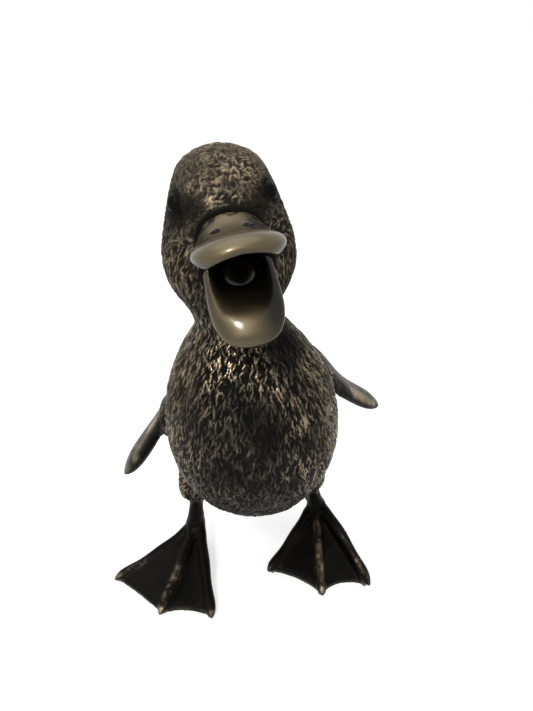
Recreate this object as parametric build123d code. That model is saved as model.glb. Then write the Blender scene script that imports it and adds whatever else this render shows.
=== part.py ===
"""Standing brass duckling with an open bill: castings fitted with tenons and pins, then brazed.

Millimetres, +Z up. The duck looks along -Y, and left and right are its own, so left is +X.
"""
import os
from math import cos, radians, sin

from build123d import *

# Walls and fits
BODY_WALL = 2.5
HEAD_WALL = 2.4
BRAZE_GAP = 0.05  # filler gap on each side of a brazed seat, tenon or pin

# Body: sections fan from the tail to the neck about a bend centre above and behind the back
BEND_Y = 44.0
BEND_Z = 90.8
TAIL_REACH = 45.0  # bend centre down to the tip of the tail
# Fan angle, reach of the back, reach of the breast, half width
BODY_STATIONS = (
    (12, 40.0, 57.5, 9.6),
    (27, 36.0, 72.5, 19.2),
    (41, 33.0, 81.2, 23.6),
    (57, 31.5, 81.5, 24.8),
    (71, 32.5, 74.5, 22.2),
    (81, 34.3, 66.5, 17.5),
)
NECK_ANGLE = 90
LEAN_START = 41  # fan angle where the upper body begins to lean over its right leg

# Neck joint
NECK_REACH = 48.0  # bend centre to the neck's own centre
NECK_RADIUS = 11.3
NECK_SHIFT = 4.4  # sideways, to the duck's right
NECK_LEAN = 5.0
SPIGOT_LENGTH = 8.0
SPIGOT_WALL = 2.0
NECK_PIN_RADIUS = 1.2
NECK_PIN_DROP = 4.0  # below the neck seam
NECK_PIN_COUNT = 2
NECK_PIN_BEARING = 25.0  # first pin, round from the duck's left to its back

# Head: level sections, each a drop below the crown, turned a little to the duck's left
HEAD_TURN = 5.2
CROWN_HEIGHT = 43.2  # above the neck seam
# Drop, reach of the face, reach of the back of the head, half width
HEAD_STATIONS = (
    (35.2, 14.2, 13.2, 13.9),
    (25.2, 17.9, 16.2, 16.7),
    (16.2, 18.2, 16.8, 14.7),
    (8.7, 15.2, 15.0, 12.1),
    (3.7, 10.8, 11.2, 9.3),
    (1.0, 5.6, 6.0, 4.9),
)
EYE_RADIUS = 2.4
EYE_PROUD = 1.1
# Right and left eye: bearing round from the face, and drop below the crown
EYE_PLACES = {-1: (57.0, 11.7), 1: (46.0, 11.1)}

# Bill and mouth
BILL_DROP = 21.2  # crown down to the bill's own axis, at the head's axis
BILL_RISE = 5.3
BILL_ROLL = 5.0  # both bills rolled about their axis, left corner up
BILL_TIP = 38.8  # from the head's axis
# Distance from the head's axis, half width, half height
UPPER_STATIONS = (
    (9.0, 7.2, 6.9),
    (18.0, 7.7, 6.5),
    (23.0, 8.5, 4.1),
    (27.0, 9.2, 3.2),
    (33.0, 9.1, 3.4),
    (37.0, 6.6, 2.9),
)
PALATE_DEPTH = 4.0  # bill's axis down to the palate's own axis
PALATE_HALF_WIDTH = 7.7
PALATE_HALF_HEIGHT = 3.9
NOSTRIL_RADIUS = 0.7
NOSTRIL_SPREAD = 6.8
NOSTRIL_DISTANCE = 23.5
NOSTRIL_DEPTH = 1.6
GAPE = 58.0
HINGE_REACH = 14.5
HINGE_FALL = 3.0  # bill's axis down to the hinge of the lower bill
LOWER_LENGTH = 20.6
# Distance from the gape's corner, half width, half height
LOWER_STATIONS = (
    (-3.0, 7.6, 3.4),
    (6.0, 8.4, 3.2),
    (13.0, 8.4, 2.9),
    (18.2, 6.4, 2.3),
)
# The same for the trough, which runs out into the flat of the lower bill's tip
TROUGH_STATIONS = (
    (-3.0, 6.0, 2.8),
    (6.0, 6.8, 2.6),
    (11.0, 6.1, 1.8),
)
TROUGH_LENGTH = 16.0
TROUGH_RAISE = 1.7  # trough's own axis above the lower bill's axis
BILL_TENON_RADIUS = 1.0
BILL_TENON_LENGTH = 2.2  # each way from the head's skin
# Mouth pocket, from the throat out: distance from the head's skin, half width, half height
POCKET_STATIONS = (
    (-10.0, 3.5, 2.5),
    (-5.0, 5.3, 3.8),
    (5.0, 5.9, 4.2),
)
POCKET_RISE = 1.8  # pocket's axis above the bill's axis, at the head's axis
POCKET_DIP = 15.0
# Distance from the throat, half width, half thickness
TONGUE_STATIONS = (
    (0.0, 2.6, 1.1),
    (7.5, 3.2, 1.1),
    (13.5, 2.6, 0.9),
)
TONGUE_LENGTH = 15.0
TONGUE_DROP = 0.9  # pocket's axis down to the tongue's root
TONGUE_DIP = 22.0

# Wings: root on the body's flank, bend and tip, each followed out from the shoulder
WING_ROOT_CHORD = 13.5
WING_MID_CHORD = 11.0
WING_END_CHORD = 8.2
WING_ROOT_THICKNESS = 5.8
WING_MID_THICKNESS = 5.2
WING_END_THICKNESS = 4.3
WING_TENON_RADIUS = 1.8
WING_TENON_INNER = 14.0  # distance of the tenon's inner end from the body's mid plane
RIGHT_WING_ROUTE = ((-16.6, 3.0, 78.4), (-23.6, 6.0, 61.4), (-31.8, 8.0, 48.3), (-39.3, 9.0, 36.9))
RIGHT_WING_TIP = (-42.3, 9.0, 32.8)
LEFT_WING_ROUTE = ((15.0, 4.0, 76.4), (24.4, 9.0, 65.6), (31.6, 13.5, 58.5), (39.6, 18.0, 52.2))
LEFT_WING_TIP = (43.6, 19.4, 49.3)

# Legs
HIP_HEIGHT = 42.5
KNEE_HEIGHT = 21.0  # where the thigh runs out into the shank
ANKLE_RADIUS = 3.0
SHANK_RADIUS = 2.5
# Radius of the thigh and height above the knee
THIGH_STATIONS = ((4.8, 4.5), (6.0, 9.0))
THIGH_RADIUS = 6.5  # at the hip
HIP_TENON_RADIUS = 1.7
HIP_TENON_LENGTH = 6.0  # past the shank's upper end
ANKLE_PEG_RADIUS = 1.3
ANKLE_PEG_LENGTH = 5.0
HIND_TOE_HEIGHT = 5.0  # root of the hind toe above the ankle seam
HIND_TOE_LENGTH = 5.2
HIND_TOE_RADIUS = 1.5
HIND_TOE_TIP = 0.9  # radius of its blunt end
HIND_TOE_SPLAY = 0.5  # inward, and as much back, for each millimetre down
RIGHT_ANKLE = (-20.2, 9.5, 12.2)
RIGHT_HIP = (-17.6, 8.5, HIP_HEIGHT)
LEFT_ANKLE = (22.0, 12.0, 15.2)
LEFT_HIP = (15.4, 8.8, HIP_HEIGHT)

# Feet. Toe's bearing from straight ahead, positive to the duck's right, length to the claw's point,
# and fall: 1 is a straight slope from the ankle, less sags and more arches
RIGHT_TOES = ((61.6, 30.2, 0.5), (19.2, 30.8, 0.75), (-10.6, 32.0, 0.8))
LEFT_TOES = ((46.8, 25.0, 0.7), (3.4, 28.2, 0.85), (-29.4, 29.2, 1.75))
# Share of a toe's length and radius there
TOE_STATIONS = ((0.03, 1.7), (0.12, 1.9), (0.25, 1.7), (0.42, 1.8), (0.6, 1.5), (0.76, 1.65), (0.94, 1.3))
TOE_ROOT_DROP = 1.2  # ankle seam down to the toes' roots
TOE_ROOT_SPREAD = 1.4  # outer toes' roots to each side of the heel
TOE_TIP_HEIGHT = 1.1
TOE_WALL = 2.2  # thickness of the web right under a toe
WEB_MARGIN = 1.7  # claw's point back to the web's edge
RIGHT_WEB_SCALLOPS = (0.3, 1.6)  # outer web and inner web, in from a straight edge
LEFT_WEB_SCALLOPS = (1.7, 2.8)  # inner web and outer web
WEB_EDGE_THICKNESS = 1.2
WEB_DROP = 0.8  # toes' roots down to the web's
WEB_FALL = 0.75
WEB_SHARES = (1, 0.75, 0.5, 0.25, 0.1, 0)  # where the web's slope is drawn, from its brim to the heel
WEB_BRIM = 4.0  # width of the level edge round the front of a web
HEEL_RADIUS = 4.2
ANKLE_FLARE = 0.3  # heel's top against the shank's end

# Core-pin holes in the flanks and the back
CORE_PLUG_RADIUS = 1.5
CORE_PLUG_FLANK = (14.0, 42.0)  # back from the body's own zero, and up
CORE_PLUG_BACK = (4.0, 60.0)  # to each side, and up
CORE_DRILL = 44.0  # length drilled, past the skin


def oval(plane, half_width, half_depth, offset=0.0):
    """Elliptical face of four quarter arcs, shifted along the plane's y axis."""
    outline = Curve()
    for start in range(-90, 270, 90):
        outline += EllipticalCenterArc((0, offset), half_width, half_depth, start_angle=start, arc_size=90)
    return plane * make_face(outline)


def rod(start, end, radius):
    """Round rod from one point to another."""
    axis = Vector(*end) - Vector(*start)
    return Plane(origin=start, z_dir=axis) * Pos(0, 0, axis.length / 2) * Cylinder(radius, axis.length)


def fan_plane(angle, reach):
    """Plane across the body at a fan angle, with y towards the back."""
    share = max(0, angle - LEAN_START) / (NECK_ANGLE - LEAN_START)
    origin = (
        -NECK_SHIFT * share**2,
        BEND_Y - reach * sin(radians(angle)),
        BEND_Z - reach * cos(radians(angle)),
    )
    lean = -NECK_LEAN * share
    along = Vector(0, -cos(radians(angle)), sin(radians(angle))).rotate(Axis.Y, lean)
    return Plane(origin=origin, x_dir=Vector(1, 0, 0).rotate(Axis.Y, lean), z_dir=along)


NECK = fan_plane(NECK_ANGLE, NECK_REACH)
HEAD = NECK.location * Rot(0, 0, HEAD_TURN)


def body_sections(inset):
    sections = []
    for angle, back, breast, half_width in BODY_STATIONS:
        plane = fan_plane(angle, (back + breast) / 2)
        sections.append(oval(plane, half_width - inset, (breast - back) / 2 - inset))
    sections.append(oval(NECK, NECK_RADIUS - inset, NECK_RADIUS - inset))
    return sections


def body_form(inset=0.0):
    """Solid of the body's skin, drawn in from the tail to the neck by an inset."""
    tail = Vertex(*fan_plane(0, TAIL_REACH).origin)
    return loft([tail] + body_sections(inset))


def head_form(inset=0.0):
    """Solid of the head's skin in the head's own frame, with -y towards the face."""
    sections = [oval(Plane.XY, NECK_RADIUS - inset, NECK_RADIUS - inset)]
    for drop, face, back, half_width in HEAD_STATIONS:
        height = CROWN_HEIGHT - drop
        plane = Plane.XY.offset(height - inset * height / CROWN_HEIGHT)
        sections.append(oval(plane, half_width - inset, (face + back) / 2 - inset, (back - face) / 2))
    return loft(sections + [Vertex(0, 0, CROWN_HEIGHT - inset)])


def bill_plane(reach, rise, pitch, distance=0.0):
    """Plane across a bill in the head's frame, from a reach ahead of the head's axis and a rise above
    the bill's: x to the left, y up and z forward along the bill."""
    forward = Vector(0, -cos(radians(pitch)), sin(radians(pitch)))
    along = Vector(0, -reach, rise) + forward * distance
    return Plane(
        origin=Vector(0, 0, CROWN_HEIGHT - BILL_DROP) + along.rotate(Axis.Y, -BILL_ROLL),
        x_dir=Vector(1, 0, 0).rotate(Axis.Y, -BILL_ROLL),
        z_dir=forward.rotate(Axis.Y, -BILL_ROLL),
    )


def upper_plane(distance):
    return bill_plane(0, 0, BILL_RISE, distance)


def lower_plane(distance):
    return bill_plane(HINGE_REACH, -HINGE_FALL, BILL_RISE - GAPE, distance)


def pocket_plane():
    return bill_plane(0, POCKET_RISE, -POCKET_DIP)


def skin_distance(form, plane):
    """How far the skin of a form lies from a plane's origin along its normal."""
    hits = form.shell().find_intersection_points(Axis(plane.origin, plane.z_dir))
    return max((point - plane.origin).dot(plane.z_dir) for point, _ in hits)


def pocket_form(skin, grow=0.0):
    """Mouth pocket, narrowing from the head's skin to the throat."""
    plane = pocket_plane()
    mouth = skin_distance(skin, plane) - grow
    sections = []
    for distance, half_width, half_height in POCKET_STATIONS:
        sections.append(oval(plane.offset(mouth + distance), half_width + grow, half_height + grow))
    return loft(sections)


def bill_tenon(plane, skin, drop, radius):
    """Round tenon along a bill, from inside the head's wall into the bill's root."""
    depth = skin_distance(skin, plane)
    line = plane.offset(depth) * Pos(0, drop, 0)
    return line * Cylinder(radius, 2 * BILL_TENON_LENGTH)


def upper_tenon(skin, clearance=0.0):
    rise = UPPER_STATIONS[1][2] / 2
    return bill_tenon(upper_plane(0), skin, rise, BILL_TENON_RADIUS + clearance)


def lower_tenon(skin, clearance=0.0):
    floor = (TROUGH_RAISE - TROUGH_STATIONS[1][2] - LOWER_STATIONS[1][2]) / 2
    return bill_tenon(lower_plane(0), skin, floor, BILL_TENON_RADIUS + clearance)


def upper_sections(inset=0.0):
    sections = []
    for distance, half_width, half_height in UPPER_STATIONS:
        sections.append(oval(upper_plane(distance), half_width - inset, half_height - inset))
    return sections


def upper_bill(skin, seat):
    """Arched upper bill over an open palate, with two nostrils."""
    bill = loft(upper_sections() + [Vertex(*upper_plane(BILL_TIP).origin)])
    palate = oval(upper_plane(0), PALATE_HALF_WIDTH, PALATE_HALF_HEIGHT, -PALATE_DEPTH)
    bill -= extrude(palate, 2 * BILL_TIP, dir=upper_plane(0).z_dir)
    core = loft(upper_sections(NOSTRIL_DEPTH))
    for side in (-1, 1):
        top = Pos(side * NOSTRIL_SPREAD / 2, 0, NOSTRIL_DISTANCE)
        drill = Pos(0, BILL_TIP / 2, 0) * Rot(-90, 0, 0) * Cylinder(NOSTRIL_RADIUS, BILL_TIP)
        bill -= upper_plane(0).location * top * drill - core
    return bill - seat + upper_tenon(skin)


def lower_bill(skin, seat):
    """Spoon-shaped lower bill with rims along its sides and a flat tip."""
    outer = [oval(lower_plane(distance), *halves) for distance, *halves in LOWER_STATIONS]
    bill = loft(outer + [Vertex(*lower_plane(LOWER_LENGTH).origin)])
    trough = [oval(lower_plane(distance), *halves, TROUGH_RAISE) for distance, *halves in TROUGH_STATIONS]
    run_out = lower_plane(TROUGH_LENGTH).location * Pos(0, LOWER_STATIONS[-1][2], 0)
    bill -= loft(trough + [Vertex(*run_out.position)])
    return bill - seat + lower_tenon(skin)


def tongue(skin):
    """Tapered tongue that leaves the throat and lifts off the lower bill."""
    pocket = pocket_plane()
    throat = skin_distance(skin, pocket) + POCKET_STATIONS[0][0] + BRAZE_GAP
    start = Plane(pocket.offset(throat).location * Pos(0, -TONGUE_DROP, 0))
    line = Plane(origin=start.origin, x_dir=start.x_dir, z_dir=bill_plane(0, 0, -TONGUE_DIP).z_dir)
    sections = []
    for distance, half_width, half_height in TONGUE_STATIONS:
        plane = line.offset(distance) if distance else start
        sections.append(oval(plane, half_width, half_height))
    return loft(sections + [Vertex(*line.offset(TONGUE_LENGTH).origin)])


def eye_seat(skin, side):
    """Place of an eye bead's centre below the skin on one side of the face, with z outward."""
    bearing, drop = EYE_PLACES[side]
    outward = (side * sin(radians(bearing)), -cos(radians(bearing)), 0)
    plane = Plane(origin=(0, 0, CROWN_HEIGHT - drop), z_dir=outward)
    return plane.offset(skin_distance(skin, plane) + EYE_PROUD - EYE_RADIUS).location


def head_shell(skin):
    """Hollow head with a blind mouth pocket, eye seats, tenon holes and the neck spigot."""
    hollow = head_form(HEAD_WALL) - pocket_form(skin, HEAD_WALL)
    shell = skin - hollow - pocket_form(skin)
    spigot_radius = NECK_RADIUS - BODY_WALL - BRAZE_GAP
    shell += Pos(0, 0, HEAD_WALL / 2) * Cylinder(NECK_RADIUS - HEAD_WALL / 2, HEAD_WALL)
    shell += Pos(0, 0, -SPIGOT_LENGTH / 2) * Cylinder(spigot_radius, SPIGOT_LENGTH)
    bore = 2 * SPIGOT_LENGTH
    shell -= Pos(0, 0, -SPIGOT_LENGTH + bore / 2) * Cylinder(spigot_radius - SPIGOT_WALL, bore)
    for side in (-1, 1):
        shell -= eye_seat(skin, side) * Sphere(EYE_RADIUS + BRAZE_GAP)
    return shell - upper_tenon(skin, BRAZE_GAP) - lower_tenon(skin, BRAZE_GAP)


def neck_pin_rods(radius):
    """Rods across the neck joint, evenly spread round it."""
    rods = []
    level = NECK.location * Pos(0, 0, -NECK_PIN_DROP)
    for step in range(NECK_PIN_COUNT):
        turn = Rot(0, 0, NECK_PIN_BEARING + step * 360 / NECK_PIN_COUNT)
        out = turn * Pos(NECK_RADIUS, 0, 0) * Rot(0, 90, 0)
        rods.append(level * out * Cylinder(radius, 2 * NECK_RADIUS))
    return rods


def core_rods(radius):
    """Rods from the middle of the body out through both flanks and twice through the back."""
    flank_y, flank_z = CORE_PLUG_FLANK
    back_x, back_z = CORE_PLUG_BACK
    rods = []
    for side in (-1, 1):
        rods.append(rod((0, flank_y, flank_z), (side * CORE_DRILL, flank_y, flank_z), radius))
        rods.append(rod((side * back_x, 0, back_z), (side * back_x, CORE_DRILL, back_z), radius))
    return rods


def body_hollow():
    """Inside of the body: a cored space below a true bore for the neck spigot."""
    bore = NECK.location * Pos(0, 0, -SPIGOT_LENGTH / 2) * Cylinder(NECK_RADIUS - BODY_WALL, SPIGOT_LENGTH)
    return loft(body_sections(BODY_WALL)) + bore


def wing(route, tip):
    """Flat stub wing, swept out from the shoulder, before it is fitted to the flank."""
    chords = (WING_ROOT_CHORD, WING_ROOT_CHORD, WING_MID_CHORD, WING_END_CHORD)
    depths = (WING_ROOT_THICKNESS, WING_ROOT_THICKNESS, WING_MID_THICKNESS, WING_END_THICKNESS)
    points = [Vector(*point) for point in route] + [Vector(*tip)]
    sections = []
    for here, after, chord, depth in zip(points, points[1:], chords, depths):
        plane = Plane(origin=here, x_dir=(0, 1, 0), z_dir=after - here)
        sections.append(oval(plane, chord / 2, depth / 2))
    return loft(sections + [Vertex(*tip)])


def wing_tenon(route, clearance=0.0):
    """Tenon straight across from the wing's bend to the inside of the flank."""
    x, y, z = route[1]
    inner = WING_TENON_INNER if x > 0 else -WING_TENON_INNER
    return rod((inner, y, z), (x, y, z), WING_TENON_RADIUS + clearance)


def leg_plane(ankle, hip):
    """Plane across the ankle seam, with z up the leg."""
    return Plane(origin=ankle, z_dir=Vector(*hip) - Vector(*ankle))


def leg_distance(plane, height):
    """How far up a leg from its ankle seam a height above the floor lies."""
    return (height - plane.origin.Z) / plane.z_dir.Z


def hip_tenon(plane, clearance=0.0):
    length = leg_distance(plane, HIP_HEIGHT) + HIP_TENON_LENGTH
    return plane.location * Pos(0, 0, length / 2) * Cylinder(HIP_TENON_RADIUS + clearance, length)


def leg(plane, side, seat):
    """Turned shank with a thigh swell, a hind toe, the hip tenon and the ankle peg."""
    length = leg_distance(plane, HIP_HEIGHT)
    knee = leg_distance(plane, KNEE_HEIGHT)
    outline = Polyline((ANKLE_RADIUS, 0), (0, 0), (0, length), (THIGH_RADIUS, length))
    flank = Spline(
        (THIGH_RADIUS, length),
        *[(radius, knee + height) for radius, height in reversed(THIGH_STATIONS)],
        (SHANK_RADIUS, knee),
        (SHANK_RADIUS, knee / 2),
        (ANKLE_RADIUS, 0),
    )
    shank = plane.location * revolve(Plane.XZ * make_face(outline + flank), Axis.Z)
    root = plane.location * Pos(0, 0, HIND_TOE_HEIGHT)
    down = Vector(-side * HIND_TOE_SPLAY, HIND_TOE_SPLAY, -1).normalized() * HIND_TOE_LENGTH
    hind = Plane(origin=root.position, z_dir=down).location * Pos(0, 0, HIND_TOE_LENGTH / 2)
    shank += hind * Cone(HIND_TOE_RADIUS, HIND_TOE_TIP, HIND_TOE_LENGTH)
    shank -= seat
    peg = plane.location * Pos(0, 0, -ANKLE_PEG_LENGTH / 2) * Cylinder(ANKLE_PEG_RADIUS, ANKLE_PEG_LENGTH)
    return shank + hip_tenon(plane) + peg


def slope_height(share, root, edge, fall):
    """Height at a share of the way from a foot's root to its edge."""
    return root - (root - edge) * share**fall


def toe(root, tip, height, fall):
    """Round toe with two knuckles from the ankle to a blunt claw, on a wall down to the floor."""
    run = tip - root
    across = Vector(0, 0, 1).cross(run).normalized()
    sections = []
    axis = []
    for share, radius in TOE_STATIONS:
        centre = root + run * share + Vector(0, 0, slope_height(share, height, TOE_TIP_HEIGHT, fall))
        drop = fall * (height - TOE_TIP_HEIGHT) * share ** (fall - 1)
        plane = Plane(origin=centre, x_dir=across, z_dir=run - Vector(0, 0, drop))
        sections.append(oval(plane, radius, radius))
        axis.append(centre)
    round_toe = loft(sections + [Vertex(*(tip + Vector(0, 0, TOE_TIP_HEIGHT)))])
    below = [Vector(point.X, point.Y, 0) for point in (axis[-1], axis[0])]
    wall = make_face(Spline(*axis) + Polyline(axis[-1], *below, axis[0]))
    return round_toe + extrude(wall, TOE_WALL / 2, dir=across, both=True)


def web_outline(heel, roots, tips, scallops):
    """Outline of a foot's web on the floor, scalloped between the toes."""
    edges = [tip - (tip - heel).normalized() * WEB_MARGIN for tip in tips]
    outline = Polyline(edges[-1], roots[-1], roots[0], edges[0])
    for here, after, scallop in zip(edges, edges[1:], scallops):
        middle = (here + after) / 2
        outline += ThreePointArc(here, middle + (heel - middle).normalized() * scallop, after)
    return make_face(outline)


def foot(plane, toes, scallops):
    """Webbed foot: three toes and a scalloped web from one heel, flat underneath."""
    heel = Vector(plane.origin.X, plane.origin.Y, 0)
    toe_height = plane.origin.Z - TOE_ROOT_DROP
    web_height = toe_height - WEB_DROP
    headings = [Vector(-sin(radians(bearing)), -cos(radians(bearing)), 0) for bearing, _, _ in toes]
    across = Vector(0, 0, 1).cross(headings[1])
    roots = [heel + across * TOE_ROOT_SPREAD * step for step in (-1, 0, 1)]
    tips = [heel + heading * length for heading, (_, length, _) in zip(headings, toes)]
    reach = max(length for _, length, _ in toes)
    heights = [slope_height(share, web_height, WEB_EDGE_THICKNESS, WEB_FALL) for share in WEB_SHARES]
    slope = [((reach - WEB_BRIM) * share, height) for share, height in zip(WEB_SHARES, heights)]
    sole = Polyline(slope[-1], (0, 0), (reach, 0), (reach, WEB_EDGE_THICKNESS), slope[0])
    web = Pos(*heel) * revolve(Plane.XZ * make_face(Spline(*slope) + sole), Axis.Z)
    part = extrude(web_outline(heel, roots, tips, scallops), web_height, dir=(0, 0, 1)) & web
    for root, tip, (_, _, fall) in zip(roots, tips, toes):
        part += toe(root, tip, toe_height, fall)
    stem = 2 * plane.origin.Z
    ankle = ANKLE_RADIUS + ANKLE_FLARE
    part += plane.location * Pos(0, 0, -stem / 2) * Cone(2 * HEEL_RADIUS - ankle, ankle, stem)
    part -= plane.location * Pos(0, 0, ankle) * Cylinder(2 * ankle, 2 * ankle)
    part &= Pos(*heel) * Pos(0, 0, reach / 2) * Box(4 * reach, 4 * reach, reach)
    peg = ANKLE_PEG_LENGTH + BRAZE_GAP
    return part - plane.location * Pos(0, 0, -peg / 2) * Cylinder(ANKLE_PEG_RADIUS + BRAZE_GAP, peg)


def build():
    """All pieces by node name, in the figure's frame."""
    skin = head_form()
    head_seat = head_form(-BRAZE_GAP)
    form = body_form()
    seat = body_form(-BRAZE_GAP)
    wall = form - body_hollow()
    wings = {"right": (RIGHT_WING_ROUTE, RIGHT_WING_TIP), "left": (LEFT_WING_ROUTE, LEFT_WING_TIP)}
    legs = {"right": leg_plane(RIGHT_ANKLE, RIGHT_HIP), "left": leg_plane(LEFT_ANKLE, LEFT_HIP)}
    feet = {"right": (RIGHT_TOES, RIGHT_WEB_SCALLOPS), "left": (LEFT_TOES, LEFT_WEB_SCALLOPS)}
    shell = wall
    parts = {
        "head_shell": HEAD * head_shell(skin),
        "upper_bill": HEAD * upper_bill(skin, head_seat),
        "lower_bill": HEAD * lower_bill(skin, head_seat),
        "tongue": HEAD * tongue(skin),
    }
    for name, side in (("right", -1), ("left", 1)):
        route, tip = wings[name]
        parts[f"{name}_eye"] = HEAD * eye_seat(skin, side) * Sphere(EYE_RADIUS)
        parts[f"{name}_wing"] = wing(route, tip) - seat + wing_tenon(route)
        parts[f"{name}_leg"] = leg(legs[name], side, seat)
        parts[f"{name}_foot"] = foot(legs[name], *feet[name])
        shell -= wing_tenon(route, BRAZE_GAP)
        shell -= hip_tenon(legs[name], BRAZE_GAP)
    flush = body_form(BRAZE_GAP)
    pins = []
    for pin, hole in zip(neck_pin_rods(NECK_PIN_RADIUS), neck_pin_rods(NECK_PIN_RADIUS + BRAZE_GAP)):
        bore_radius = NECK_RADIUS - BODY_WALL - SPIGOT_WALL
        pins += ((pin & flush) - NECK.location * Cylinder(bore_radius, 4 * SPIGOT_LENGTH)).solids()
        shell -= hole
        parts["head_shell"] -= hole
    plugs = []
    for plug, hole in zip(core_rods(CORE_PLUG_RADIUS), core_rods(CORE_PLUG_RADIUS + BRAZE_GAP)):
        plugs += ((plug & flush) - body_hollow()).solids()
        shell -= hole
    parts["body_shell"] = shell
    parts["neck_pins"] = Compound(pins)
    parts["core_plugs"] = Compound(plugs)
    return parts


def main():
    parts = build()
    box = Compound([solid for part in parts.values() for solid in part.solids()]).bounding_box()
    rest = Pos(-box.center().X, -box.center().Y, -box.min.Z)
    os.makedirs("parts", exist_ok=True)
    for name, part in parts.items():
        export_step(rest * part, os.path.join("parts", f"{name}.step"))


if __name__ == "__main__":
    main()
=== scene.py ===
"""Looks of the brass duckling: chased feather skins, webbed feet, polished bill, floor, lights and camera."""
from math import cos, radians, sin

import bmesh
import bpy
import numpy as np
from mathutils import Matrix, Vector
from mathutils.bvhtree import BVHTree
from mathutils.kdtree import KDTree


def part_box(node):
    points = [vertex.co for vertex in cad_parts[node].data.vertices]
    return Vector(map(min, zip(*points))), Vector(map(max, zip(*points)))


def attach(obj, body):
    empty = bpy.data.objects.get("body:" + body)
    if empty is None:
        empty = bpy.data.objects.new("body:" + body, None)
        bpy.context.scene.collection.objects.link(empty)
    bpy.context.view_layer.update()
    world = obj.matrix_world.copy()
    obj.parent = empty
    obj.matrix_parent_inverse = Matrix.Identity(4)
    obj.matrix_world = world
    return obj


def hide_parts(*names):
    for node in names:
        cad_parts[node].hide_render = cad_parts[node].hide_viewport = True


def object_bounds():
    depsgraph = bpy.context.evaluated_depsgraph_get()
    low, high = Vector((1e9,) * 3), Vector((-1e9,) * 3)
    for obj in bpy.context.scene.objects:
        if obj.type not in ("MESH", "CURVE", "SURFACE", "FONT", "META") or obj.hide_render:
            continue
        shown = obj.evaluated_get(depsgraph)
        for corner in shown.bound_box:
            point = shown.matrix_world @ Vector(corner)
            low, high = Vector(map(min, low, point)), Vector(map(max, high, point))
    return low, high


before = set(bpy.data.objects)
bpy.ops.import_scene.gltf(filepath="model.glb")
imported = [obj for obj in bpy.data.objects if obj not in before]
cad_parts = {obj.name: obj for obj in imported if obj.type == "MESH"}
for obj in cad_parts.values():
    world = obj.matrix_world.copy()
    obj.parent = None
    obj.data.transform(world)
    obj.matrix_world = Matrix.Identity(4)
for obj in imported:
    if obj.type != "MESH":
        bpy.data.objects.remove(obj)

MM = 0.001
CAD_BOX = [list(corner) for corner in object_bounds()]

# Places restated from the model in millimetres, moved by where the model's own zero lies in the frame
ZERO = np.array([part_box("left_wing")[1].x / MM - 43.6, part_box("body_shell")[1].y / MM - 44.0, 0.0])
BEND = np.array([0.0, 44.0, 90.8]) + ZERO
NECK = np.array([-4.4, -4.0, 90.8]) + ZERO
HEAD_AXES = np.array(Matrix.Rotation(radians(-5.0), 3, "Y") @ Matrix.Rotation(radians(5.2), 3, "Z"))
BILL_AXES = HEAD_AXES @ np.array(Matrix.Rotation(radians(-5.0), 3, "Y"))
BILL_ROOT = NECK + HEAD_AXES @ [0, 0, 22.0]
LOWER_HINGE = np.array([0, -14.5, -3.0])  # from the bill's root, in its axes
# Lower bill's axes in the bill's: across, along and up, with its half widths and half heights along it
LOWER_AXES = np.array(Matrix.Rotation(radians(52.7), 3, "X")) @ np.diag([1, -1, 1])
LOWER_WIDTHS = ((-3.0, 6.0, 13.0, 18.2, 20.6), (7.6, 8.4, 8.4, 6.4, 4.0))
LOWER_HEIGHTS = ((-3.0, 6.0, 13.0, 18.2, 20.6), (3.4, 3.2, 2.9, 2.3, 1.0))
LOWER_RIM = 1.4
TROUGH_DEPTH = 3.6
NOSTRIL = (3.4, 23.5)  # from the bill's middle, and ahead of its root
# Heel and height of the toes' roots, then each toe's bearing, length and fall, and where its rubbing starts
# and how far it goes
FEET = {
    "right_foot": (
        (-20.2, 9.5, 11.0),
        ((61.6, 30.2, 0.5, 0.45, 0.55), (19.2, 30.8, 0.75, 0.3, 0.75), (-10.6, 32.0, 0.8, 0.75, 0.38)),
    ),
    "left_foot": (
        (22.0, 12.0, 14.0),
        ((46.8, 25.0, 0.7, 0.75, 0.3), (3.4, 28.2, 0.85, 0.0, 0.78), (-29.4, 29.2, 1.75, 0.3, 0.65)),
    ),
}
TOE_TIP_HEIGHT = 1.1
KNEE_HEIGHT = 21.0

# Camera, and the size of the picture whose pixels are cast from it onto the skin
CAMERA = np.array([-5.6, -133.7, 137.6]) + ZERO
CAMERA_TILT = radians(66.0)
CAMERA_TURN = radians(-4.0)
FOCAL_PIXELS = 520.0
IMAGE = (533, 711)
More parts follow.
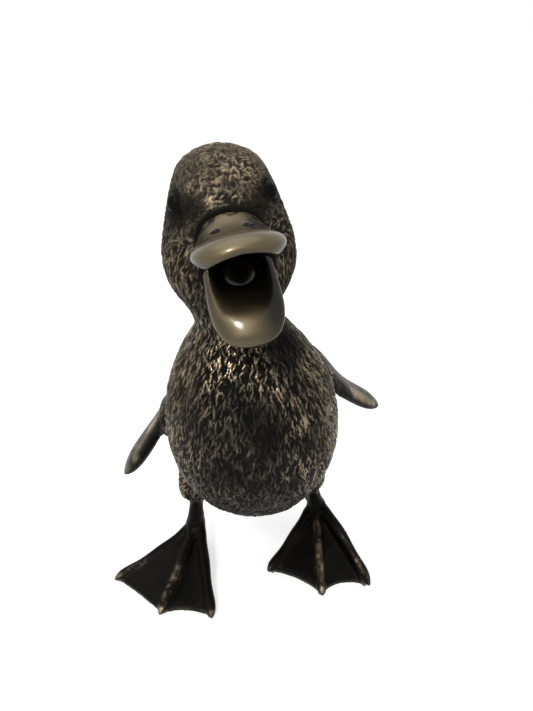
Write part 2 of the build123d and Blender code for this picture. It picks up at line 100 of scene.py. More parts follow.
# Patches of the skin by the pixel that shows them: radius in millimetres, how far rubbed or, below 0, dark.
# The bright ones high on the breast are partly painted highlight, and the dark ones just below the bill and
# at the wing's root are painted shadow
PATCHES = (
    # The bright patches at 218, 366, at 214, 384 and at 244, 352 are partly rubbing and partly painted
    # highlight of glints on the upper breast
    (218, 366, 5.0, 0.48), (214, 384, 3.5, 0.44), (264, 384, 5.0, 0.24), (244, 352, 5.0, 0.4),
    (299, 417, 5.5, 0.16), (287, 446, 4.0, 0.18), (299, 470, 5.0, 0.14), (204, 402, 5.0, 0.1),
    (198, 462, 5.0, 0.12), (286, 394, 4.0, 0.14), (303, 358, 3.0, 0.12),
    # The dark patches at 284, 350 and 288, 336, just below the bill, are painted shadow, and the one at 190,
    # 410, by the wing's root, is painted shade
    (262, 428, 6.0, -0.26), (276, 446, 5.0, -0.26), (222, 478, 5.0, -0.22), (284, 350, 5.0, -0.32),
    (288, 336, 4.0, -0.3), (190, 410, 4.5, -0.16), (240, 470, 4.5, -0.12), (280, 486, 6.0, -0.14),
    (170, 204, 2.6, -0.3), (181, 208, 3.0, -0.24), (194, 208, 2.4, -0.22), (176, 218, 2.6, -0.2),
    (269, 190, 2.6, -0.3), (262, 200, 2.2, -0.24), (254, 214, 2.8, -0.24), (246, 206, 1.6, -0.18),
    (196, 174, 4.0, 0.1), (214, 186, 4.0, 0.05), (222, 202, 3.6, 0.14), (236, 204, 3.0, 0.14),
    (246, 172, 4.0, 0.1), (230, 162, 4.0, 0.1),
)
BIB_PATCHES = 4  # the first ones, where the strokes of the upper breast are shorter
# Bronze edges of the bare wings and their dark roots, the roots painted shade: from pixel to pixel, radius in
# millimetres, how far rubbed or, below 0, darkened
WING_LINES = (
    ((155, 420), (135, 458), 1.6, 0.24), ((161, 422), (143, 453), 2.0, -0.3),
    ((352, 391), (374, 404), 1.6, 0.24), ((336, 380), (349, 397), 2.2, -0.3),
)
LINE_STEPS = 12

SKIN_VOXEL = 0.31
BILL_VOXEL = 0.24
STROKES_PER_CORNER = 0.08
WEB_STEPS = 170  # of filling the hollows beside the toes
LEVEL_STEPS = 20  # of these, the first ones also wear ridges down
# Light of the world, and glow of the world and the floor that only rays which show the surroundings see
WORLD_LIGHT = 0.7
WORLD_GLOW = 0.3
FLOOR_GLOW = 0.62
# Nodes that one skin covers, and nodes that close its holes
SKIN_NODES = (
    "body_shell", "head_shell", "left_wing", "right_wing", "left_leg", "right_leg", "left_foot", "right_foot",
)
SEAL_NODES = ("upper_bill", "lower_bill", "tongue", "left_eye", "right_eye", "neck_pins", "core_plugs")


# Mesh helpers, in millimetres

def solid(name):
    """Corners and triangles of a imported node."""
    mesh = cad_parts[name].data
    mesh.calc_loop_triangles()
    co = np.empty(len(mesh.vertices) * 3)
    mesh.vertices.foreach_get("co", co)
    tri = np.empty(len(mesh.loop_triangles) * 3, int)
    mesh.loop_triangles.foreach_get("vertices", tri)
    return co.reshape(-1, 3) / MM, tri.reshape(-1, 3)


def lump(centre, halves, axes=np.eye(3)):
    """Corners and triangles of an oval lump, from its half sizes along some axes."""
    ball = bmesh.new()
    bmesh.ops.create_icosphere(ball, subdivisions=3, radius=1.0)
    co = np.array([v.co for v in ball.verts]) * halves @ axes.T + centre
    tri = np.array([[v.index for v in face.verts] for face in ball.faces])
    ball.free()
    return co, tri


def remeshed(names, voxel, *lumps):
    """Even quads over the union of some nodes and lumps: corners, quads and edges."""
    corners, faces, count = [], [], 0
    for co, tri in [solid(name) for name in names] + list(lumps):
        corners.append(co)
        faces.append(tri + count)
        count += len(co)
    mesh = bpy.data.meshes.new("union")
    mesh.from_pydata((np.concatenate(corners) * MM).tolist(), [], np.concatenate(faces).tolist())
    ob = bpy.data.objects.new("union", mesh)
    bpy.context.scene.collection.objects.link(ob)
    mod = ob.modifiers.new("even", "REMESH")
    mod.mode = "VOXEL"
    mod.voxel_size = voxel * MM
    even = bpy.data.meshes.new_from_object(ob.evaluated_get(bpy.context.evaluated_depsgraph_get()))
    bpy.data.objects.remove(ob)
    co = np.empty(len(even.vertices) * 3)
    even.vertices.foreach_get("co", co)
    quads = np.empty(len(even.loops), int)
    even.loops.foreach_get("vertex_index", quads)
    edges = np.empty(len(even.edges) * 2, int)
    even.edges.foreach_get("vertices", edges)
    return co.reshape(-1, 3) / MM, quads.reshape(-1, 4), edges.reshape(-1, 2)


def outer_skin(co, quads, edges):
    """Drops closed hollows: keeps the corners that are joined to the highest one."""
    keep = np.zeros(len(co), bool)
    keep[co[:, 2].argmax()] = True
    while True:
        front = keep[edges[:, 0]] != keep[edges[:, 1]]
        if not front.any():
            break
        keep[edges[front]] = True
    place = np.cumsum(keep) - 1
    return co[keep], place[quads[keep[quads[:, 0]]]], place[edges[keep[edges[:, 0]]]]


def normals(co, quads):
    """Mean normal of the quads at each corner."""
    across = np.cross(co[quads[:, 2]] - co[quads[:, 0]], co[quads[:, 3]] - co[quads[:, 1]])
    out = np.zeros_like(co)
    for corner in range(4):
        for k in range(3):
            out[:, k] += np.bincount(quads[:, corner], across[:, k], len(co))
    return unit(out)


def unit(v):
    return v / np.maximum(np.linalg.norm(v, axis=-1, keepdims=True), 1e-9)


def mean_round(values, edges):
    """Mean of each corner's neighbours."""
    a, b = edges.T
    count = len(values)
    degree = np.maximum(np.bincount(a, minlength=count) + np.bincount(b, minlength=count), 1)
    flat = values.reshape(count, -1)
    out = [np.bincount(a, col[b], count) + np.bincount(b, col[a], count) for col in flat.T]
    return (np.array(out).T / degree[:, None]).reshape(values.shape)


def relax(co, edges, weight, passes, keep=True):
    """Smooths corners by weight; keep holds the volume."""
    w = np.asarray(weight, float).reshape(-1, 1)
    for _ in range(passes):
        co = co + 0.5 * w * (mean_round(co, edges) - co)
        if keep:
            co = co - 0.53 * w * (mean_round(co, edges) - co)
    return co


def far(co, point):
    """Distance of each corner from a point."""
    return np.linalg.norm(co - point, axis=1)


def ease(x, low, high):
    """0 below low, 1 above high, and a smooth rise between."""
    t = np.clip((x - low) / (high - low), 0, 1)
    return t * t * (3 - 2 * t)


def cloud(co, scale, seed):
    """Smooth noise from -1 to 1 with features of about a given size."""
    size = 32
    grid = np.random.RandomState(seed).uniform(-1, 1, (size, size, size))
    cell = np.floor(co / scale).astype(int)
    t = ease(co / scale - cell, 0, 1)
    out = np.zeros(len(co))
    for corner in np.ndindex(2, 2, 2):
        weight = np.where(corner, t, 1 - t).prod(1)
        out += weight * grid[tuple(((cell + corner) % size).T)]
    return out


def toe_reach(bearing, length):
    """Level way from a toe's root to its tip."""
    return -np.array([sin(radians(bearing)), cos(radians(bearing)), 0]) * length


def near(points):
    """Search tree of some points."""
    tree = KDTree(len(points))
    for i, p in enumerate(points):
        tree.insert(p, i)
    tree.balance()
    return tree


def distance_to(co, points, reach):
    """Distance to the nearest of some points, up to a reach."""
    out = np.full(len(co), float(reach))
    if not len(points):
        return out
    tree = near(points)
    low, high = points.min(0) - reach, points.max(0) + reach
    for i in np.flatnonzero(((co > low) & (co < high)).all(1)):
        out[i] = min(reach, tree.find(co[i])[2])
    return out


def owners(co, names):
    """Which node each corner lies on."""
    best = np.full(len(co), 1e9)
    owner = np.zeros(len(co), int)
    for k, name in enumerate(names):
        points, tri = solid(name)
        tree = BVHTree.FromPolygons(points.tolist(), tri.tolist())
        low, high = points.min(0) - 1.0, points.max(0) + 1.0
        for i in np.flatnonzero(((co > low) & (co < high)).all(1)):
            d = tree.find_nearest(co[i])[3]
            if d < best[i]:
                best[i], owner[i] = d, k
    return owner


def piece(name, co, quads, node, slot, material, shading, **layers):
    """A closed mesh object for a node, with shading normals and named values on its corners."""
    used, faces = np.unique(quads, return_inverse=True)
    faces = faces.reshape(quads.shape).tolist()
    co, shading = co[used], shading[used]
    values = {key: layer[used] for key, layer in layers.items()}
    extra, extra_values = [], {key: [] for key in values}
    for loop in open_loops(np.array(faces)):
        extra.append(co[loop].mean(0))
        for key in values:
            extra_values[key].append(values[key][loop].mean())
        hub = len(co) + len(extra) - 1
        faces += [[loop[i - 1], loop[i], hub] for i in range(len(loop))]
    if extra:
        co = np.concatenate([co, extra])
        shading = np.concatenate([shading, np.tile([0.0, 0.0, 1.0], (len(extra), 1))])
        values = {key: np.concatenate([layer, extra_values[key]]) for key, layer in values.items()}
    mesh = bpy.data.meshes.new(name)
    mesh.from_pydata((co * MM).tolist(), [], faces)
    mesh.shade_smooth()
    for key, layer in values.items():
        mesh.attributes.new(key, "FLOAT", "POINT").data.foreach_set("value", layer.astype(np.float32))
    mesh.normals_split_custom_set_from_vertices(shading.tolist())
    mesh.materials.append(material)
    ob = bpy.data.objects.new(name, mesh)
    bpy.context.scene.collection.objects.link(ob)
    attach(ob, "root")
    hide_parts(node)


def open_loops(quads):
    """Rings of corners round a mesh's open edges, each in the order that closes it."""
    sides = np.concatenate([np.stack([quads[:, i], quads[:, i - 1]], 1) for i in range(4)])
    key = sides[:, 0] * (quads.max() + 1) + sides[:, 1]
    back = sides[:, 1] * (quads.max() + 1) + sides[:, 0]
    after = {}
    for a, b in sides[~np.isin(key, back)]:
        after.setdefault(a, []).append(b)
    loops = []
    while after:
        start = next(iter(after))
        loop, here = [], start
        while here in after:
            loop.append(here)
            follow = after[here].pop()
            if not after[here]:
                del after[here]
            here = follow
            if here == start:
                break
        if len(loop) > 2:
            loops.append(loop)
    return loops


def strokes(co, normal, tree, seeds, flow, size, girth, rng, swing):
    """Raised chaser's strokes, each a bent ridge along the flow: height from 0 to 1."""
    height = np.zeros(len(co))
    for i in seeds:
        length = size[i] * rng.uniform(2.2, 5.6)
        width = rng.uniform(0.5, 0.85) * girth[i]
        lift = rng.uniform(0.5, 1.0)
        turn = rng.normal(0, swing[i])
        bend = rng.uniform(-0.9, 0.9)
        wave = rng.uniform(-0.7, 0.7)
        side = np.cross(normal[i], flow[i])
        along = np.cos(turn) * flow[i] + np.sin(turn) * side
        across = np.cross(normal[i], along)
        ids = np.array([hit[1] for hit in tree.find_range(co[i], length * 0.54)])
        d = co[ids] - co[i]
        u = d @ along / (length / 2)
        v = d @ across / (width / 2) + bend * (1 - u * u) + wave * np.sin(4 * u)
        ridge = np.clip(1 - v * v, 0, 1) * ease(u, -1.0, -0.1) * (1 - ease(u, 0.4, 1.0))
        ridge *= normal[ids] @ normal[i] > 0.2
        height[ids] = np.maximum(height[ids], lift * ridge)
    return height


def pixel_points(co, quads, pixels):
    """Where the rays of some pixels meet a skin."""
    tree = BVHTree.FromPolygons(co.tolist(), quads.tolist())
    turn = np.array(Matrix.Rotation(CAMERA_TURN, 3, "Z") @ Matrix.Rotation(CAMERA_TILT, 3, "X"))
    points = []
    for x, y in pixels:
        ray = turn @ [x - IMAGE[0] / 2, IMAGE[1] / 2 - y, -FOCAL_PIXELS]
        points.append(tree.ray_cast(Vector(CAMERA), Vector(ray))[0])
    return np.array(points)


# Materials

def nodes_of(name):
    """A new material, its node tree and its shader."""
    mat = bpy.data.materials.new(name)
    mat.use_nodes = True
    tree = mat.node_tree
    return mat, tree, tree.nodes["Principled BSDF"]


def new(tree, kind, **settings):
    """A new node with some settings."""
    node = tree.nodes.new(kind)
    for key, value in settings.items():
        setattr(node, key, value)
    return node


def grain(tree, scale, detail=3.0, rough=0.55):
    """Noise in the object's own millimetres."""
    place = new(tree, "ShaderNodeTexCoord")
    tex = new(tree, "ShaderNodeTexNoise")
    tex.inputs["Scale"].default_value = scale
    tex.inputs["Detail"].default_value = detail
    tex.inputs["Roughness"].default_value = rough
    tree.links.new(place.outputs["Object"], tex.inputs["Vector"])
    return tex.outputs["Fac"]


def ramp(tree, source, stops):
    """Colours or grey values by place on a scale from 0 to 1."""
    node = new(tree, "ShaderNodeValToRGB")
    bar = node.color_ramp
    while len(bar.elements) < len(stops):
        bar.elements.new(0.5)
    for element, (at, value) in zip(bar.elements, stops):
        element.position = at
        element.color = (*value, 1.0) if isinstance(value, tuple) else (value, value, value, 1.0)
    tree.links.new(source, node.inputs["Fac"])
    return node.outputs["Color"]


def sums(tree, operation, a, b):
    """Result of an operation on two numbers or sockets."""
    node = new(tree, "ShaderNodeMath", operation=operation)
    for socket, value in zip(node.inputs, (a, b)):
        if isinstance(value, (int, float)):
            socket.default_value = value
        else:
            tree.links.new(value, socket)
    return node.outputs["Value"]


def layer(tree, name):
    """Values that a mesh carries on its corners."""
    return new(tree, "ShaderNodeAttribute", attribute_name=name).outputs["Fac"]


def worn_brass(name, colours, shine, metal, breaks, bump, gloss):
    """Patinated brass: its layer of wear and painted light and shade, broken up by fine and broad grain, runs
    from patina to bare metal.
    """
    mat, tree, shader = nodes_of(name)
    fine = sums(tree, "MULTIPLY", sums(tree, "SUBTRACT", grain(tree, 1500.0), 0.5), breaks[0])
    broad = sums(tree, "MULTIPLY", sums(tree, "SUBTRACT", grain(tree, 130.0, 2.0), 0.5), breaks[1])
    wear = sums(tree, "ADD", sums(tree, "ADD", layer(tree, "wear"), fine), broad)
    tree.links.new(ramp(tree, wear, colours), shader.inputs["Base Color"])
    haze = sums(tree, "MULTIPLY", layer(tree, "matte"), 0.3)
    tree.links.new(sums(tree, "ADD", ramp(tree, wear, shine), haze), shader.inputs["Roughness"])
    tree.links.new(ramp(tree, wear, metal), shader.inputs["Metallic"])
    shader.inputs["Specular IOR Level"].default_value = gloss
    rough = new(tree, "ShaderNodeBump")
    rough.inputs["Strength"].default_value = bump
    rough.inputs["Distance"].default_value = 0.0002
    tree.links.new(grain(tree, 2600.0, 4.0), rough.inputs["Height"])
    tree.links.new(rough.outputs["Normal"], shader.inputs["Normal"])
    return mat


FEATHER = worn_brass(
    "feather_patina",
    colours=((0.15, (0.0022, 0.002, 0.0018)), (0.42, (0.018, 0.0145, 0.0105)), (0.66, (0.079, 0.066, 0.047)),
             (1.0, (0.34, 0.256, 0.153))),
    shine=((0.2, 0.55), (0.65, 0.4), (1.0, 0.17)), metal=((0.3, 0.1), (0.75, 0.9)),
    breaks=(0.3, 0.3), bump=0.35, gloss=0.07,
)
DARK = worn_brass(
    "dark_patina",
    colours=((0.1, (0.0025, 0.0023, 0.0021)), (0.45, (0.011, 0.009, 0.007)), (0.7, (0.082, 0.065, 0.043)),
             (1.0, (0.24, 0.195, 0.13))),
    shine=((0.2, 0.4), (0.9, 0.42)), metal=((0.3, 0.1), (0.75, 0.85)),
    breaks=(0.34, 0.24), bump=0.3, gloss=0.05,
)
BILL = worn_brass(
    "bill_brass",
    colours=((0.1, (0.002, 0.0018, 0.0016)), (0.4, (0.016, 0.0128, 0.0075)), (0.75, (0.09, 0.07, 0.038)),
             (1.0, (0.165, 0.128, 0.07))),
    shine=((0.2, 0.5), (0.8, 0.42)), metal=((0.2, 0.1), (0.7, 0.85)),
    breaks=(0.06, 0.14), bump=0.03, gloss=0.05,
)
# Waxed, for soft hot spots
wax = BILL.node_tree.nodes["Principled BSDF"]
wax.inputs["Coat Weight"].default_value = 0.4
wax.inputs["Coat Roughness"].default_value = 0.13


def eye_material():
    mat, tree, shader = nodes_of("eye_gloss")
    tone = grain(tree, 900.0, 2.0)
    tree.links.new(ramp(tree, tone, ((0.35, (0.0015, 0.0015, 0.0015)), (0.7, (0.006, 0.005, 0.004)))),
                   shader.inputs["Base Color"])
    tree.links.new(ramp(tree, tone, ((0.3, 0.35), (0.7, 0.45))), shader.inputs["Roughness"])
    shader.inputs["Specular IOR Level"].default_value = 0.04
    return mat


# Lumps that fill the steep end of the lower bill's trough, and the creases at the right thigh and right wing
TROUGH_FILL = lump(
    BILL_ROOT + BILL_AXES @ (LOWER_HINGE + LOWER_AXES @ [0, 14.0, 0.2]),
    [5.5, 3.4, 2.3], BILL_AXES @ LOWER_AXES,
)
THIGH = np.array([-19.2, -2.5, 38.0]) + ZERO
THIGH_FILL = lump(THIGH, [4.5, 7.5, 5.5])
WING_ROOT = np.array([-25.3, 6.0, 56.0]) + ZERO
WING_FILL = lump(WING_ROOT, [3.5, 7.5, 7.0])

# One skin over the body, head, wings, legs and feet, so that their roots run into each other

names = SKIN_NODES + SEAL_NODES
co, quads, edges = outer_skin(*remeshed(names, SKIN_VOXEL, THIGH_FILL, WING_FILL))
owner = owners(co, names)
at = {name: owner == k for k, name in enumerate(names)}
hidden = at["neck_pins"] | at["core_plugs"]
body = at["body_shell"] | hidden
wings = at["left_wing"] | at["right_wing"]
legs = at["left_leg"] | at["right_leg"]
feet = at["left_foot"] | at["right_foot"]
head = at["head_shell"]
# Bill, tongue and eyes stay pieces of their own
apart = at["upper_bill"] | at["lower_bill"] | at["tongue"] | at["left_eye"] | at["right_eye"]
# Smoothed: everywhere a little, then over the seams and fillings, and on the feet into slack webs
part = np.select([body | head, wings, legs, feet], [0, 1, 2, 3], 4)
fixed = apart | (distance_to(co, co[apart], 1.0) < 0.7)
soft = np.where(fixed, 0.0, np.where(feet, 0.35, 1.0))
co = relax(co, edges, np.where(fixed, 0.3, 1.0), 8)
co = relax(co, edges, soft, 60)
cross = part[edges[:, 0]] != part[edges[:, 1]]
seam = np.unique(edges[cross & ~apart[edges].any(1)])
seam_gap = distance_to(co, co[seam], 7.0)
co = relax(co, edges, soft ** 0.5 * (1 - ease(seam_gap, 1.0, 6.0)), 30, keep=False)
for centre in (THIGH, WING_ROOT):
    co = relax(co, edges, 1 - ease(far(co, centre), 6.0, 12.0), 40, keep=False)
co = relax(co, edges, feet * 0.8, 6, keep=False)
claw = np.zeros(len(co))
for root, toes in FEET.values():
    for bearing, length, *_ in toes:
        tip = np.array(root) + ZERO + toe_reach(bearing, length)
        claw = np.maximum(claw, 1 - ease(np.hypot(*(co - tip)[:, :2].T), 2.0, 5.0))
sag = feet * (1 - 0.9 * claw) * ease(co[:, 2], 0.5, 1.2)
for step in range(WEB_STEPS):
    lift = mean_round(co[:, 2], edges) - co[:, 2]
    co[:, 2] += 0.5 * sag * (lift if step < LEVEL_STEPS else np.maximum(lift, 0))
normal = normals(co, quads)

# Flow of the feathers: from the neck down the breast and back to the tail, and back from the bill on the head
rng = np.random.RandomState(7)
mouth = BILL_ROOT + BILL_AXES @ [0, -14.0, -3.0]
down = np.stack([np.zeros(len(co)), BEND[2] - co[:, 2], co[:, 1] - BEND[1]], 1)
upper = ease(co[:, 2], BILL_ROOT[2] - 6, BILL_ROOT[2] + 8)[:, None]
away = unit(co - mouth) * (0.5 + 0.5 * upper) - np.array([0, 0, 1.0]) * (1 - upper)
flow = np.where(head[:, None], unit(away), unit(down))
flow = unit(flow - normal * (flow * normal).sum(1)[:, None])

# Where feathers grow: fading out over the wings' roots and the knees, and not in the mouth or beside the bill
body_gap = distance_to(co, co[body | head], 14.0)
fade = np.where(wings, 1 - ease(body_gap, 0.5, 7.0), 1.0)
fade = np.where(legs, ease(co[:, 2], KNEE_HEIGHT - 1.5, KNEE_HEIGHT + 2), fade)
inside = head & (far(co, mouth) < 13) & ((normal * (co - mouth)).sum(1) < -0.5)
fade[inside | apart | feet] = 0.0
fade *= ease(distance_to(co, co[apart], 2.0), 0.3, 1.6)
above = (co - BILL_ROOT) @ BILL_AXES
brow = head * ease(above[:, 2], 2.0, 7.0) * (1 - ease(above[:, 1], -6.0, 8.0))
line_pixels = [pixel for start, end, *_ in WING_LINES for pixel in np.linspace(start, end, LINE_STEPS)]
spots = pixel_points(co, quads, [spot[:2] for spot in PATCHES] + line_pixels)
bib = body * (1 - ease(far(co, spots[:BIB_PATCHES].mean(0)), 6.0, 13.0))
size = (1.0 - 0.5 * brow) * (1 - 0.25 * bib)
girth = 1.0 + 0.6 * brow + 0.1 * bib
swing = 0.2 + 1.2 * brow + 0.08 * bib
ground = np.flatnonzero(fade > 0.05)
odds = 1 + brow[ground] + 0.3 * bib[ground]
seeds = rng.choice(ground, int(len(ground) * STROKES_PER_CORNER), replace=False, p=odds / odds.sum())
height = strokes(co, normal, near(co), seeds, flow, size, girth, rng, swing)
depth = np.where(head, 0.45, 0.6) * fade
push = depth * (height - np.where(head, 0.8, 0.9)) + 0.18 * fade * cloud(co, 5.0, 3)
cover = 1 - ease(distance_to(co, co[hidden], 2.0), 0.5, 2.0)
co = co + normal * np.maximum(push, 0.2 * cover - 1.0 * (1 - cover))[:, None]

# Wear and painted light: high strokes are rubbed, low places stay dark, and whole patches are more or less
# rubbed or darkened, some of them as painted shadow or painted highlight
rubbed = np.zeros(len(co))
for spot, (_, _, radius, amount) in zip(spots, PATCHES):
    rubbed += amount * (1 - ease(far(co, spot), 0.5 * radius, 1.5 * radius))
under = ease(-normal[:, 2], 0.25, 0.75)
crest = ease(height, 0.32, 0.95) * fade * (1 - 0.35 * under)
patch = 0.6 * cloud(co, 9.0, 11) + 0.4 * cloud(co, 4.0, 12)
wear = 0.15 + crest * (0.52 - 0.24 * brow + 0.2 * patch)
wear += np.where(rubbed > 0, crest - 0.2, 0.3 + 0.7 * crest) * rubbed * fade
# Painted sheen: the head, more towards its crown, and the body where it faces sideways are lightened as a
# painted reflection of bright surroundings
crown = ease(co[:, 2], BILL_ROOT[2] + 4, BILL_ROOT[2] + 18)
wear += fade * np.where(head, 0.15 + 0.17 * crown, 0.05 + 0.18 * ease(abs(normal[:, 0]), 0.4, 0.9))
wear -= 0.1 * bib
# Painted sheen on the right thigh
wear += 0.06 * fade * (1 - ease(far(co, THIGH), 5.0, 11.0))
wear[inside] = 0.0
matte = np.where(head, ease(co[:, 2], NECK[2] + 2, NECK[2] + 14), 0.0)

# Wings: the side that faces out and up is lighter as painted light; bronze edges are rubbed along their
# lines, and their dark roots are painted shade
for name, side in (("right_wing", (-0.8, -0.35, 0.45)), ("left_wing", (0.25, -0.55, 0.8))):
    bare = at[name] * (1 - fade)
    facing = ease(normal @ np.array(side), 0.25, 0.8)
    streak = cloud(co * [1.0, 1.0, 0.4], 1.6, 21)
    wear = np.where(at[name], wear + bare * (0.1 + facing * (0.3 + 0.14 * streak)), wear)
wing = np.flatnonzero(wings)
for line, (_, _, radius, amount) in zip(spots[len(PATCHES):].reshape(-1, LINE_STEPS, 3), WING_LINES):
    gap = np.linalg.norm(co[wing][:, None] - line, axis=2).min(1)
    wear[wing] += amount * (1 - ease(gap, 0.3 * radius, 1.5 * radius))
wear = np.where(legs, wear + 0.12 + 0.06 * fade, wear)

# Feet: dark webs, toes rubbed along their tops and at their tips, and pale front edges
for name, (root, toes) in FEET.items():
    mine = np.flatnonzero(at[name])
    wear[mine] = 0.16 + 0.08 * cloud(co[mine], 3.0, 31)
    share = np.linspace(0, 1, 40)
    for bearing, length, fall, start, rub in toes:
        line = np.array(root) + ZERO + share[:, None] * toe_reach(bearing, length)
        line[:, 2] = root[2] - (root[2] - TOE_TIP_HEIGHT) * share ** fall
        gaps = np.linalg.norm(co[mine][:, None] - line, axis=2)
        t = share[gaps.argmin(1)]
        gap = gaps.min(1)
        top = (1 - ease(gap, 1.1, 2.5)) * ease(normal[mine][:, 2], 0.2, 0.8)
        knob = ease(t, 0.9, 0.97) * (1 - ease(gap, 1.6, 2.6))
        speck = 0.75 + 0.45 * cloud(co[mine], 1.1, 33)
        wear[mine] += top * rub * ease(t, start, start + 0.25) * speck + 0.32 * knob
    rim = (1 - ease(co[mine][:, 2], 1.1, 1.9)) * ease(np.hypot(*normal[mine][:, :2].T), 0.35, 0.8)
    wear[mine] += 0.36 * rim * (1 - ease(normal[mine][:, 1], 0.2, 0.6))
co = np.clip(co, np.array(CAD_BOX[0]) / MM, np.array(CAD_BOX[1]) / MM)
shading = normals(co, quads)

# A piece for each node of the skin, cut along the seams
for name in SKIN_NODES:
    group = body if name == "body_shell" else at[name]
    mine = group[quads].sum(1) >= (2 if name == "body_shell" else 3)
    slot, material = ("dark_brass", DARK) if name.endswith(("leg", "foot")) else ("patinated_brass", FEATHER)
    skin = name.replace("_shell", "") + "_skin"
    piece(skin, co, quads[mine], name, slot, material, shading, wear=wear, matte=matte)

# Bill and tongue, remeshed finer, rounded, and rubbed from the dark mouth out to the lips, with painted shade
# in the mouth, under the upper bill and down one side of the lower bill, and a painted highlight on the
# tongue
for name, passes in (("upper_bill", 14), ("lower_bill", 10), ("tongue", 8)):
    fine, cells, lines = remeshed((name,), BILL_VOXEL, *([TROUGH_FILL] if name == "lower_bill" else []))
    fine = relax(fine, lines, np.ones(len(fine)), 12)
    out = normals(fine, cells) @ BILL_AXES
    place = (fine - BILL_ROOT) @ BILL_AXES
    across = place[:, 0]
    along, rise = ((place - LOWER_HINGE) @ LOWER_AXES)[:, 1:].T
    if name == "lower_bill":  # its open side becomes one soft spoon
        width, dome = (np.interp(along, *table) for table in (LOWER_WIDTHS, LOWER_HEIGHTS))
        dome = dome * np.sqrt(np.clip(1 - (across / width) ** 2, 0, 1))
        hollow = np.clip(1 - (across / (width - LOWER_RIM)) ** 2, 0, 1)
        dip = TROUGH_DEPTH * (1 - ease(along, 3.0, 16.5)) * hollow
        inner = (out @ LOWER_AXES[:, 2] > -0.5) | ((hollow > 0) & (rise > -0.4 * dome))
        open_side = ease(along, 2.0, 5.0) * (1 - ease(along, 17.0, 19.0)) * inner
        fine = fine + (open_side * (dome - dip - rise))[:, None] * (BILL_AXES @ LOWER_AXES[:, 2])
        fine = relax(fine, lines, open_side, 70, keep=False)
    fine = relax(fine, lines, np.ones(len(fine)), passes, keep=False)
    out = normals(fine, cells) @ BILL_AXES
    place = (fine - BILL_ROOT) @ BILL_AXES
    across, ahead = place[:, 0], -place[:, 1]
    rub = 0.78 + 0.08 * cloud(fine, 5.0, 5)
    if name == "upper_bill":
        lip = ease(ahead, 26.5, 29.0)
        # Painted shade: darker where the upper bill faces down, in the crease behind the lip, and on the
        # lower half of the lip
        rub -= 0.8 * ease(-out[:, 2], 0.25, 0.6) * (1 - ease(ahead, 33.0, 37.0))
        rub -= 0.3 * (1 - ease(abs(ahead - 27.4), 0.3, 1.2)) * ease(out[:, 2], 0.3, 0.7)
        rub -= 0.16 * ease(-out[:, 2], -0.5, 0.4) * lip
        mottle = cloud(fine, 1.3, 8)
        rub += (0.1 - (0.5 + 0.3 * mottle) * ease(abs(across + 0.9), 3.6, 5.6)) * (1 - lip)
        rub -= 0.55 * ease(mottle, -0.2, 0.4) * (1 - ease(ahead, 18.5, 21.0))
        for side in (-1, 1):
            nostril = np.hypot(across - NOSTRIL[0] * side, (ahead - NOSTRIL[1]) / 1.3)
            rub -= 1 - ease(nostril, 0.7, 1.3)
    if name == "lower_bill":
        # Painted shadow deep in the mouth, fading towards the tip; the rims a little darker, and the side at
        # positive across, away from the lamps, darker as painted shade
        trough = 1 - ease(abs(across), 4.6, 7.4)
        rub -= (0.75 - 0.4 * ease(along, 5.0, 10.0) - 0.3 * ease(along, 10.0, 15.0)) * trough
        rub -= 0.1 * (1 - trough) + 0.34 * ease(across, 0.0, 6.0) * (1 - 0.4 * ease(along, 15.0, 19.0))
    if name == "tongue":
        # Painted highlight: a lighter ring round the tongue's tip
        rub = 0.12 + 0.3 * (1 - ease(abs(np.hypot(across, (ahead - 19.0) * 0.6) - 2.6), 0.3, 0.9))
    piece(name + "_form", fine, cells, name, "polished_brass", BILL, normals(fine, cells), wear=rub)

# Eyes and hidden pins keep their solids
for name in ("left_eye", "right_eye", "neck_pins", "core_plugs"):
    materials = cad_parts[name].data.materials
    materials.clear()
    materials.append(eye_material() if name.endswith("eye") else DARK)

# Floor, world, lamps and camera

def seen_rays(tree):
    """1 for rays that show the surroundings: straight, mirrored or through glass."""
    path = new(tree, "ShaderNodeLightPath")
    direct = sums(tree, "MAXIMUM", path.outputs["Is Camera Ray"], path.outputs["Is Transmission Ray"])
    return sums(tree, "MAXIMUM", direct, path.outputs["Is Glossy Ray"])


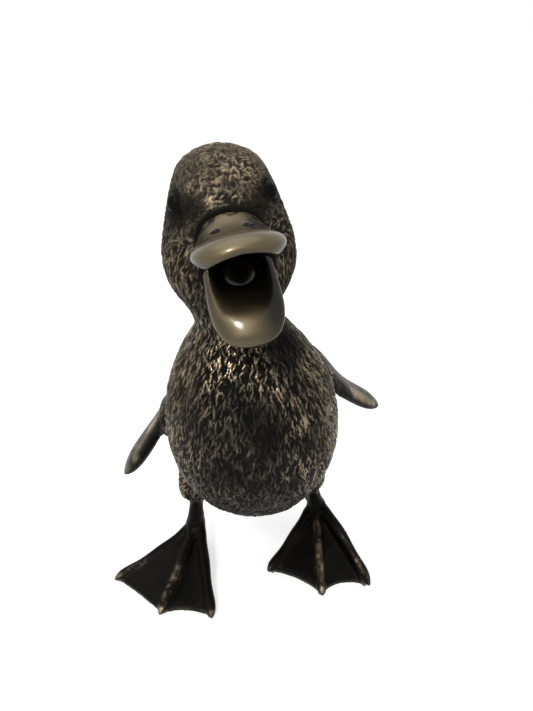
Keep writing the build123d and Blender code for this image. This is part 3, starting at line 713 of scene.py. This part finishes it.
def floor_material():
    mat, tree, shader = nodes_of("floor")
    shader.inputs["Base Color"].default_value = (0.55, 0.55, 0.55, 1)
    shader.inputs["Roughness"].default_value = 0.9
    seen = seen_rays(tree)
    shader.inputs["Emission Color"].default_value = (1, 1, 1, 1)
    tree.links.new(sums(tree, "MULTIPLY", seen, FLOOR_GLOW), shader.inputs["Emission Strength"])
    return mat


mesh = bpy.data.meshes.new("floor")
mesh.from_pydata([(-4, -4, 0), (4, -4, 0), (4, 4, 0), (-4, 4, 0)], [], [(0, 1, 2, 3)])
mesh.materials.append(floor_material())
floor = bpy.data.objects.new("floor", mesh)
bpy.context.scene.collection.objects.link(floor)

world = bpy.data.worlds.new("studio")
bpy.context.scene.world = world
world.use_nodes = True
tree = world.node_tree
seen = seen_rays(tree)
tree.nodes["Background"].inputs["Color"].default_value = (1, 1, 1, 1)
strength = sums(tree, "ADD", sums(tree, "MULTIPLY", seen, WORLD_GLOW), WORLD_LIGHT)
tree.links.new(strength, tree.nodes["Background"].inputs["Strength"])


def lamp(name, place, aim, power, size):
    light = bpy.data.lights.new(name, "AREA")
    light.shape = "ELLIPSE"
    light.size, light.size_y = size
    light.energy = power
    ob = bpy.data.objects.new(name, light)
    ob.location = place
    ob.rotation_euler = (Vector(aim) - Vector(place)).to_track_quat("-Z", "Y").to_euler()
    bpy.context.scene.collection.objects.link(ob)


lamp("key", (-0.15, 0.05, 0.9), (0, 0, 0.06), 3.5, (1.0, 1.0))
lamp("glint", (-0.12, -0.30, 0.37), (0, -0.02, 0.08), 0.9, (0.07, 0.08))

optics = bpy.data.cameras.new("camera")
optics.sensor_width = 36.0
optics.lens = FOCAL_PIXELS / IMAGE[1] * optics.sensor_width
optics.clip_start = 0.005
camera = bpy.data.objects.new("camera", optics)
camera.location = CAMERA * MM
camera.rotation_euler = (CAMERA_TILT, 0, CAMERA_TURN)
bpy.context.scene.collection.objects.link(camera)
bpy.context.scene.camera = camera
bpy.context.scene.view_settings.view_transform = "Standard"
